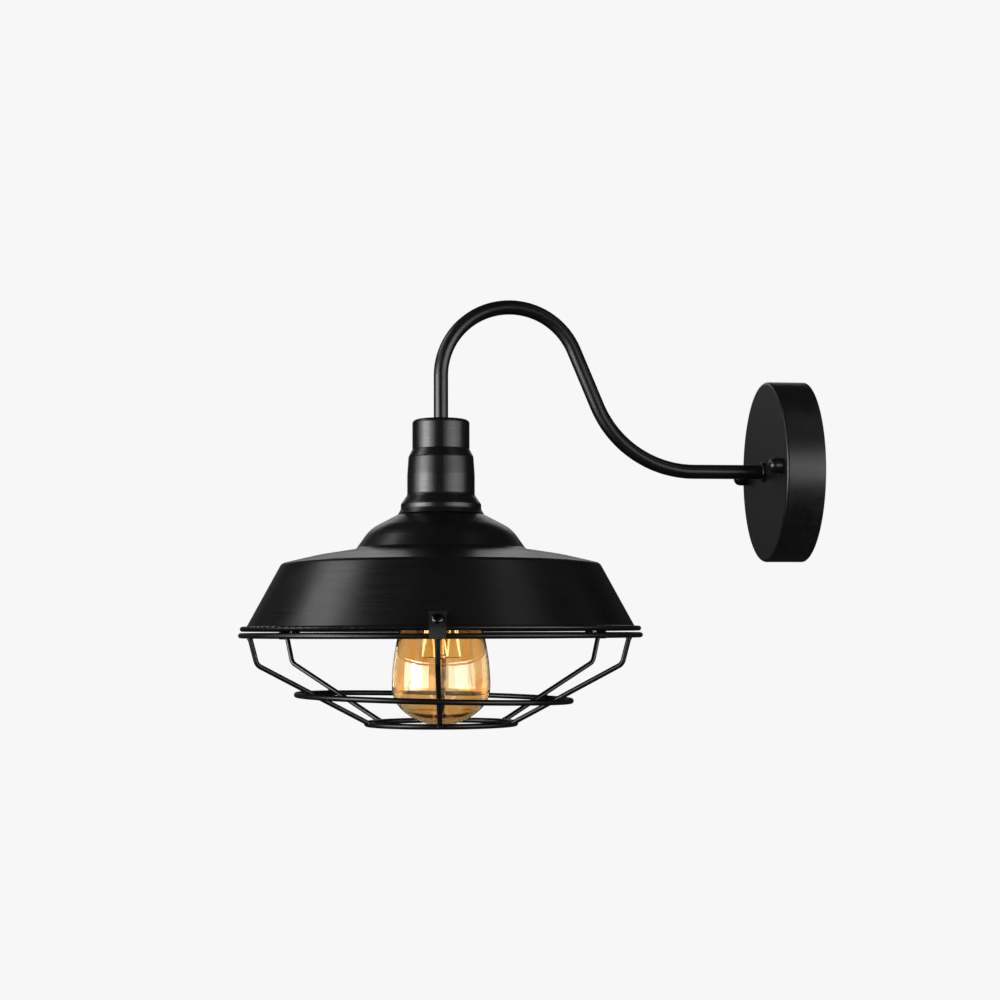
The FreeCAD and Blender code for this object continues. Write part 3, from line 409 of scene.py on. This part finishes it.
def nugget(centre, along, size, seed):
    """A lumpy weld: a rounded lump about a line, widest at its middle, with torch ripples."""
    along = along.normalized()
    side = along.orthogonal().normalized()
    other = along.cross(side)
    length, girth = size
    around = WELD_STEPS * 2
    shift = Vector((seed, seed * 0.7, seed * 1.3))
    vertices = [centre - along * length / 2]
    for ring in range(1, WELD_STEPS):
        t = ring / WELD_STEPS
        reach = girth * math.sin(math.pi * t) ** WELD_ROUNDING
        ripple = math.sin(t * math.pi * WELD_RIPPLES) * WELD_RIPPLE_HEIGHT
        for spoke in range(around):
            angle = math.pi * spoke / WELD_STEPS
            direction = side * math.cos(angle) + other * math.sin(angle)
            point = centre + along * (length * (t - 0.5)) + direction * reach
            lump = noise.noise(point * WELD_LUMP_SCALE + shift)
            vertices.append(point + direction * girth * (lump * WELD_LUMP_HEIGHT + ripple))
    vertices.append(centre + along * length / 2)
    last = 1 + (WELD_STEPS - 2) * around
    faces = []
    for spoke in range(around):
        following = (spoke + 1) % around
        faces.append((0, 1 + following, 1 + spoke))
        faces.append((last + spoke, last + following, len(vertices) - 1))
    for start in range(1, last, around):
        faces += band(start, start + around, around)
    return vertices, faces


def middle_ring_point(angle):
    turn = math.radians(angle)
    x = MIDDLE_RADIUS * math.cos(turn)
    y = MIDDLE_RADIUS * math.sin(turn)
    return Vector((x, LAMP_Y - MIDDLE_SLIDE + y * math.cos(MIDDLE_TILT),
                   MIDDLE_Z - y * math.sin(MIDDLE_TILT)))


def rib_corners(angle):
    """The knee and the foot of the rib at an angle about the lamp."""
    return [about_lamp(radius, angle, height) for radius, height in (RIB_KNEE, RIB_FOOT)]


def nearest_crossing(angle):
    """Where a rib passes the middle ring: the closest pair of points on their centre lines."""
    knee, foot = rib_corners(angle)
    best = None
    for step in range(-60, 61):
        on_ring = middle_ring_point(angle + step * 0.1)
        share = (on_ring - knee).dot(foot - knee) / (foot - knee).length_squared
        on_rib = knee + (foot - knee) * share
        gap = (on_ring - on_rib).length
        if best is None or gap < best[0]:
            best = (gap, on_ring, on_rib)
    return best[1], best[2]


def top_ring_z(angle):
    """The top ring touches the rim bead at the back and is lowest in front."""
    drop = TOP_RING_RADIUS * math.sin(TOP_RING_TILT)
    return TOP_RING_BACK_Z - drop * (1 + math.cos(math.radians(angle)))


top_welds, foot_welds, middle_welds = [], [], []
for index, angle in enumerate(RIB_ANGLES):
    top = about_lamp(TOP_RING_RADIUS, angle, top_ring_z(angle))
    knee, foot = rib_corners(angle)
    down = (knee - top).normalized()
    rising = (knee - foot).normalized()
    top_welds.append(nugget(top + down * (TOP_WIRE + WELD_BITE), down,
                            (RIB_WELD_LENGTH, RIB_WIRE + TOP_WELD_SPARE),
                            index + WELD_SEEDS[0]))
    foot_welds.append(nugget(foot + rising * (BOTTOM_WIRE + WELD_BITE), rising,
                             (RIB_WELD_LENGTH, RIB_WIRE + FOOT_WELD_SPARE),
                             index + WELD_SEEDS[1]))
    on_ring, on_rib = nearest_crossing(angle)
    tangent = Vector((-math.sin(math.radians(angle)), math.cos(math.radians(angle)), 0))
    middle_welds.append(nugget(on_ring.lerp(on_rib, 0.5), tangent, CROSSING_WELD,
                               index + WELD_SEEDS[2]))

WIRE = MATERIALS["wire"]
new_piece("guard_welds_top", *joined(top_welds), WIRE, "fixture", "black_paint")
new_piece("guard_welds_bottom", *joined(foot_welds), WIRE, "fixture", "black_paint")
new_piece("guard_welds_middle", *joined(middle_welds), WIRE, "fixture", "black_paint")


def thread_profile(share):
    """Rolled lamp thread: rounded crest and root, from 0 at the root to 1 at the crest."""
    return 0.5 - 0.5 * math.cos(2 * math.pi * share)


def threaded_cap():
    """The bulb's screw shell with its helical thread, closed inwards on the glass neck."""
    height = CAP_TOP - CAP_FOOT
    vertices = []
    for row in range(THREAD_ROWS + 1):
        depth = height * row / THREAD_ROWS
        fade = max(0.0, min(1.0, depth / THREAD_RUN_IN, (height - depth) / THREAD_SKIRT))
        skirt = 1.0 if depth > height - THREAD_SKIRT else 0.0
        for spoke in range(THREAD_SIDES):
            turn = spoke / THREAD_SIDES
            share = thread_profile(depth / CAP_PITCH + turn) * fade + skirt * (1.0 - fade)
            radius = CAP_ROOT + (CAP_CREST - CAP_ROOT) * share
            vertices.append(about_lamp(radius, 360.0 * turn, CAP_TOP - depth))
    rings = [row * THREAD_SIDES for row in range(THREAD_ROWS + 1)]
    for level in (CAP_FOOT, CAP_TOP):
        rings.append(len(vertices))
        vertices += [about_lamp(NECK_RADIUS + CAP_GAP, 360.0 * spoke / THREAD_SIDES, level)
                     for spoke in range(THREAD_SIDES)]
    faces = []
    for first, second in zip(rings, rings[1:] + rings[:1]):
        faces += band(first, second, THREAD_SIDES, flipped=True)
    return vertices, faces


cap = new_piece("bulb_cap_thread", *threaded_cap(), MATERIALS["cap"], "bulb", "bulb_cap_metal")
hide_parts("bulb_cap")


def filament_corner(step):
    radius, height = FILAMENT_FOOT if step % 2 else FILAMENT_TOP
    return about_lamp(radius, 360.0 * (step + 0.5) / FILAMENT_STRANDS, height)


def filament_line():
    """The zigzag round the glass rod, with a small bend at each hook."""
    corners = [filament_corner(step) for step in range(FILAMENT_STRANDS)]
    line = [corners[0]]
    for before, corner, after in zip(corners, corners[1:], corners[2:]):
        start = corner + (before - corner).normalized() * FILAMENT_SETBACK
        end = corner + (after - corner).normalized() * FILAMENT_SETBACK
        for step in range(FILAMENT_BEND_STEPS + 1):
            t = step / FILAMENT_BEND_STEPS
            line.append(start * (1 - t) ** 2 + corner * 2 * t * (1 - t) + end * t ** 2)
    return line + [corners[-1]]


def evenly_spaced(line, spacing):
    """Points along a line at equal steps."""
    points, carried = [line[0]], 0.0
    for start, end in zip(line, line[1:]):
        length = (end - start).length
        reach = spacing - carried
        while reach <= length:
            points.append(start.lerp(end, reach / length))
            reach += spacing
        carried = length - (reach - spacing)
    return points


def run_at(points, index):
    """The direction in which a line of points runs at one of them."""
    return (points[min(index + 1, len(points) - 1)] - points[max(index - 1, 0)]).normalized()


def coiled_filament():
    """The fine wire helix that runs along the zigzag."""
    spine = evenly_spaced(filament_line(), COIL_PITCH / COIL_TURN_STEPS)
    normal = (spine[1] - spine[0]).orthogonal().normalized()
    radials, loops = [], []
    for index, point in enumerate(spine):
        ahead = run_at(spine, index)
        normal = (normal - ahead * normal.dot(ahead)).normalized()
        turn = 2 * math.pi * index / COIL_TURN_STEPS
        radials.append(normal * math.cos(turn) + ahead.cross(normal) * math.sin(turn))
        loops.append(point + radials[-1] * COIL_RADIUS)
    vertices, faces = [], []
    for index, (point, radial) in enumerate(zip(loops, radials)):
        third = run_at(loops, index).cross(radial).normalized()
        for side in range(COIL_SIDES):
            angle = 2 * math.pi * side / COIL_SIDES
            offset = radial * math.cos(angle) + third * math.sin(angle)
            vertices.append(point + offset * COIL_WIRE)
    last = (len(loops) - 1) * COIL_SIDES
    for start in range(0, last, COIL_SIDES):
        faces += band(start, start + COIL_SIDES, COIL_SIDES)
    faces.append(tuple(range(COIL_SIDES))[::-1])
    faces.append(tuple(last + side for side in range(COIL_SIDES)))
    return vertices, faces


coil = new_piece("filament_coil", *coiled_filament(), MATERIALS["coil"], "bulb", "filament_metal")
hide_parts("filament")


# ---------------------------------------------------------------- floor, light and background

BACKGROUND = 0.93
GLOSS_LEVEL = 0.025
ROOM_LEVEL = 0.5
FLOOR_Z = -1.5
FLOOR_RADIUS = 4.0
FLOOR_SIDES = 96
FLOOR_ROWS = 12
FLOOR_FADE = (1.2, 3.9)
FLOOR_GLOW = 0.6


def floor_material():
    """Pale floor that keeps shadows and fades into the plain background towards its rim."""
    graph = Graph("floor")
    x, y, _ = graph.split_position()
    rays = graph.node("LightPath").outputs
    seen = graph.math("MAXIMUM", rays["Is Camera Ray"], rays["Is Transmission Ray"])
    grain = graph.ramp(graph.noise(graph.position(), 3.0, 4.0), 0.3, 0.7, 0.78, 0.82)
    tone = graph.node("CombineColor", Red=grain, Green=grain, Blue=grain).outputs[0]
    lit = graph.node("BsdfDiffuse", Color=tone).outputs[0]
    glow = graph.node("Emission", Color=opaque([BACKGROUND] * 3)).outputs[0]
    sheen = graph.node("Emission", Color=opaque([GLOSS_LEVEL] * 3)).outputs[0]
    clear = graph.node("BsdfTransparent").outputs[0]
    body = graph.mix_shaders(graph.math("MULTIPLY", seen, FLOOR_GLOW), lit, glow)
    mirrored = graph.mix_shaders(rays["Is Glossy Ray"], body, sheen)
    rim = graph.ramp(graph.length(x, y), *FLOOR_FADE)
    return graph.finish(graph.mix_shaders(rim, mirrored, clear))


def make_floor():
    vertices = [(0, LAMP_Y, FLOOR_Z)]
    for row in range(1, FLOOR_ROWS + 1):
        reach = FLOOR_RADIUS * row / FLOOR_ROWS
        for spoke in range(FLOOR_SIDES):
            angle = 2 * math.pi * spoke / FLOOR_SIDES
            vertices.append((reach * math.cos(angle), LAMP_Y + reach * math.sin(angle),
                             FLOOR_Z))
    faces = [(0, 1 + spoke, 1 + (spoke + 1) % FLOOR_SIDES) for spoke in range(FLOOR_SIDES)]
    for row in range(FLOOR_ROWS - 1):
        start = 1 + row * FLOOR_SIDES
        faces += band(start, start + FLOOR_SIDES, FLOOR_SIDES, flipped=True)
    mesh = bpy.data.meshes.new("floor")
    mesh.from_pydata(vertices, [], faces)
    floor = bpy.data.objects.new("floor", mesh)
    scene.collection.objects.link(floor)
    give(floor, floor_material())


make_floor()


def make_world():
    """Plain background where seen directly or through glass, and a soft room for the rest."""
    world = bpy.data.worlds.new("studio")
    scene.world = world
    world.use_nodes = True
    tree = world.node_tree
    tree.nodes.clear()
    rays = tree.nodes.new("ShaderNodeLightPath").outputs

    def combine(operation, first, second):
        made = tree.nodes.new("ShaderNodeMath")
        made.operation = operation
        for socket, value in zip(made.inputs, (first, second)):
            if isinstance(value, bpy.types.NodeSocket):
                tree.links.new(value, socket)
            else:
                socket.default_value = value
        return made.outputs[0]

    seen = combine("MAXIMUM", rays["Is Camera Ray"], rays["Is Transmission Ray"])
    backdrop = combine("MULTIPLY", seen, BACKGROUND)
    gloss = combine("MULTIPLY", rays["Is Glossy Ray"], GLOSS_LEVEL)
    room = combine("MULTIPLY", rays["Is Diffuse Ray"], ROOM_LEVEL)
    light = tree.nodes.new("ShaderNodeBackground")
    light.inputs["Color"].default_value = (1, 1, 1, 1)
    tree.links.new(combine("ADD", backdrop, combine("ADD", gloss, room)),
                   light.inputs["Strength"])
    out = tree.nodes.new("ShaderNodeOutputWorld")
    tree.links.new(light.outputs[0], out.inputs["Surface"])


make_world()

LIGHTS_AIM = Vector((0, LAMP_Y, -0.06))

# Name, bearing from +X towards +Y and rise from level in degrees, distance, width and height
# in metres, radiance, and whether it is mirrored in glossy surfaces.
SOFTBOXES = (
    ("softbox_left", -67.0, 3.0, 1.35, 1.8, 0.7, 2.4, True),
    ("softbox_left_core", -66.0, 3.0, 1.33, 0.75, 0.6, 5.2, True),
    ("softbox_right", 47.0, 3.0, 1.35, 1.8, 0.7, 1.7, True),
    ("softbox_right_core", 44.0, 3.0, 1.33, 0.8, 0.6, 1.1, True),
    ("softbox_upper_left", -94.0, 41.0, 1.35, 0.6, 0.45, 2.4, True),
    ("softbox_upper_right", 54.0, 50.0, 1.35, 0.5, 0.4, 0.35, True),
    ("panel_for_wall_box", -165.0, 8.0, 1.7, 0.6, 0.6, 0.08, True),
    ("softbox_behind", 176.0, 24.0, 1.6, 1.3, 0.4, 1.0, True),
    ("fill_back_left", -150.0, 10.0, 1.8, 0.9, 0.9, 2.0, False),
    ("fill_back_right", 125.0, 10.0, 1.8, 0.9, 0.9, 2.0, False),
)


def softbox(name, bearing, rise, distance, width, tall, radiance, mirrored):
    """A rectangular soft lamp that faces the lampshade."""
    turn, climb = math.radians(bearing), math.radians(rise)
    away = Vector((math.cos(turn) * math.cos(climb), math.sin(turn) * math.cos(climb),
                   math.sin(climb)))
    data = bpy.data.lights.new(name, "AREA")
    data.shape = "RECTANGLE"
    data.size = width
    data.size_y = tall
    data.energy = radiance * math.pi * width * tall
    lamp = bpy.data.objects.new(name, data)
    turned = (-away).to_track_quat("-Z", "Y").to_matrix().to_4x4()
    lamp.matrix_world = Matrix.Translation(LIGHTS_AIM + away * distance) @ turned
    lamp.visible_camera = False
    lamp.visible_glossy = mirrored
    scene.collection.objects.link(lamp)


for settings in SOFTBOXES:
    softbox(*settings)


# ---------------------------------------------------------------- camera

CAMERA_PLACE = (1.208966, -0.332179, -0.110038)
CAMERA_TURNS = (83.886, 4.262, -0.187)
FOCAL_PIXELS = 1856.42
PICTURE_WIDTH = 1000.0
SENSOR_WIDTH = 36.0


def make_camera():
    """The camera that was fitted to the photo; its turns are azimuth, pitch and roll."""
    azimuth, pitch, roll = (math.radians(value) for value in CAMERA_TURNS)
    ahead = Vector((-math.sin(azimuth) * math.cos(pitch), math.cos(azimuth) * math.cos(pitch),
                    math.sin(pitch)))
    level = Vector((math.cos(azimuth), math.sin(azimuth), 0))
    upright = level.cross(ahead)
    right = level * math.cos(roll) + upright * math.sin(roll)
    above = upright * math.cos(roll) - level * math.sin(roll)
    data = bpy.data.cameras.new("photo_camera")
    data.sensor_fit = "HORIZONTAL"
    data.sensor_width = SENSOR_WIDTH
    data.lens = FOCAL_PIXELS * SENSOR_WIDTH / PICTURE_WIDTH
    camera = bpy.data.objects.new("photo_camera", data)
    turn = Matrix((right, above, -ahead)).transposed().to_4x4()
    camera.matrix_world = Matrix.Translation(CAMERA_PLACE) @ turn
    scene.collection.objects.link(camera)
    scene.camera = camera


make_camera()
scene.view_settings.view_transform = "Standard"
